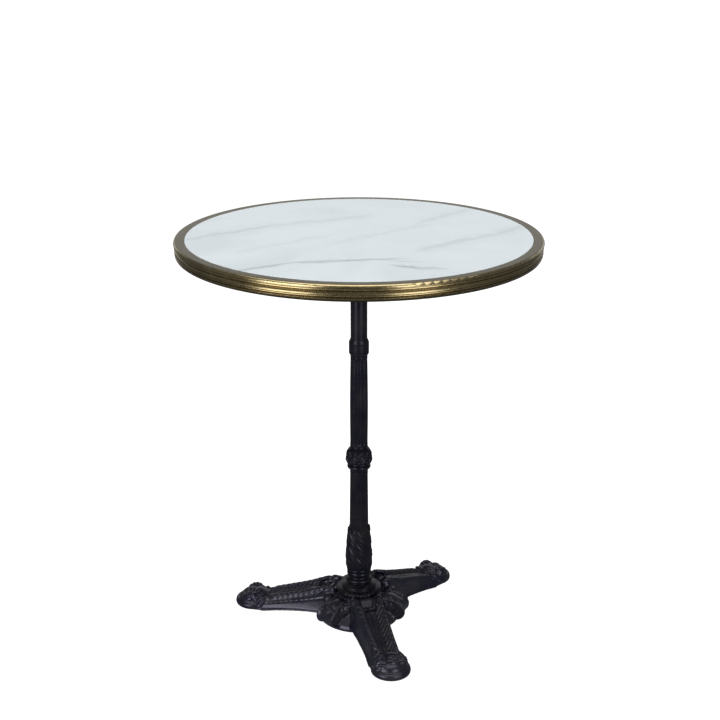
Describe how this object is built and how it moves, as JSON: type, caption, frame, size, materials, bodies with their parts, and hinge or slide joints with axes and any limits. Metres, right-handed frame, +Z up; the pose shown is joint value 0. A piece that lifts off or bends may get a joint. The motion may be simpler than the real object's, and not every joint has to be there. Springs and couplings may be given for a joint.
{
  "type": "bistro table",
  "caption": "Round bistro table: brass-edged marble top on a slim fluted cast-iron column, with an ornate low cast-iron tripod foot and levelling pads.",
  "frame": {"origin": "on the floor, under the middle of the round top", "axes": "+Z up along the column; the legs point to 30, 150 and 270 degrees round +Z from +X, so one leg points along -Y, the front"},
  "size_m": [0.6199, 0.62, 0.72],
  "materials": {
    "marble": "polished white marble with faint grey veins",
    "brass_edge": "drawn brass with a dark antique patina, satin",
    "board": "dark stained board",
    "cast_black": "satin black paint over cast iron",
    "tube_black": "satin black paint over steel tube",
    "spider_black": "black paint over cast iron",
    "zinc": "zinc-plated steel",
    "screws": "plated steel wood screws",
    "nylon": "black nylon"
  },
  "bodies": {
    "table": {"marble_slab": "marble", "brass_rim": "brass_edge", "core_board": "board", "top_spider": "spider_black", "spider_screws": "screws", "tie_rod": "zinc", "top_washer": "zinc", "top_nut": "zinc", "bottom_washer": "zinc", "bottom_nut": "zinc", "neck_tube": "tube_black", "column_collar": "cast_black", "column_upper": "cast_black", "column_knop": "cast_black", "column_lower": "cast_black", "column_foot": "cast_black", "base_casting": "cast_black"},
    "pad_1": {"leveller_pad_1": "nylon"},
    "stud_1": {"leveller_stud_1": "zinc"},
    "pad_2": {"leveller_pad_2": "nylon"},
    "stud_2": {"leveller_stud_2": "zinc"},
    "pad_3": {"leveller_pad_3": "nylon"},
    "stud_3": {"leveller_stud_3": "zinc"}
  },
  "joints": [
    {"name": "pad_1_drop", "type": "slide", "parent": "table", "child": "pad_1", "axis": [0, 0, -1], "range_m": [0, 0.008]},
    {"name": "stud_1_turn", "type": "hinge", "parent": "pad_1", "child": "stud_1", "pos_m": [0.1758, 0.1015, 0.01], "axis": [0, 0, -1], "range_deg": [0, 2304]},
    {"name": "pad_2_drop", "type": "slide", "parent": "table", "child": "pad_2", "axis": [0, 0, -1], "range_m": [0, 0.008]},
    {"name": "stud_2_turn", "type": "hinge", "parent": "pad_2", "child": "stud_2", "pos_m": [-0.1758, 0.1015, 0.01], "axis": [0, 0, -1], "range_deg": [0, 2304]},
    {"name": "pad_3_drop", "type": "slide", "parent": "table", "child": "pad_3", "axis": [0, 0, -1], "range_m": [0, 0.008]},
    {"name": "stud_3_turn", "type": "hinge", "parent": "pad_3", "child": "stud_3", "pos_m": [0, -0.203, 0.01], "axis": [0, 0, -1], "range_deg": [0, 2304]}
  ],
  "couplings": [
    {"joint": "stud_1_turn", "follows": "pad_1_drop", "rad_per_m": 5026.5},
    {"joint": "stud_2_turn", "follows": "pad_2_drop", "rad_per_m": 5026.5},
    {"joint": "stud_3_turn", "follows": "pad_3_drop", "rad_per_m": 5026.5}
  ]
}
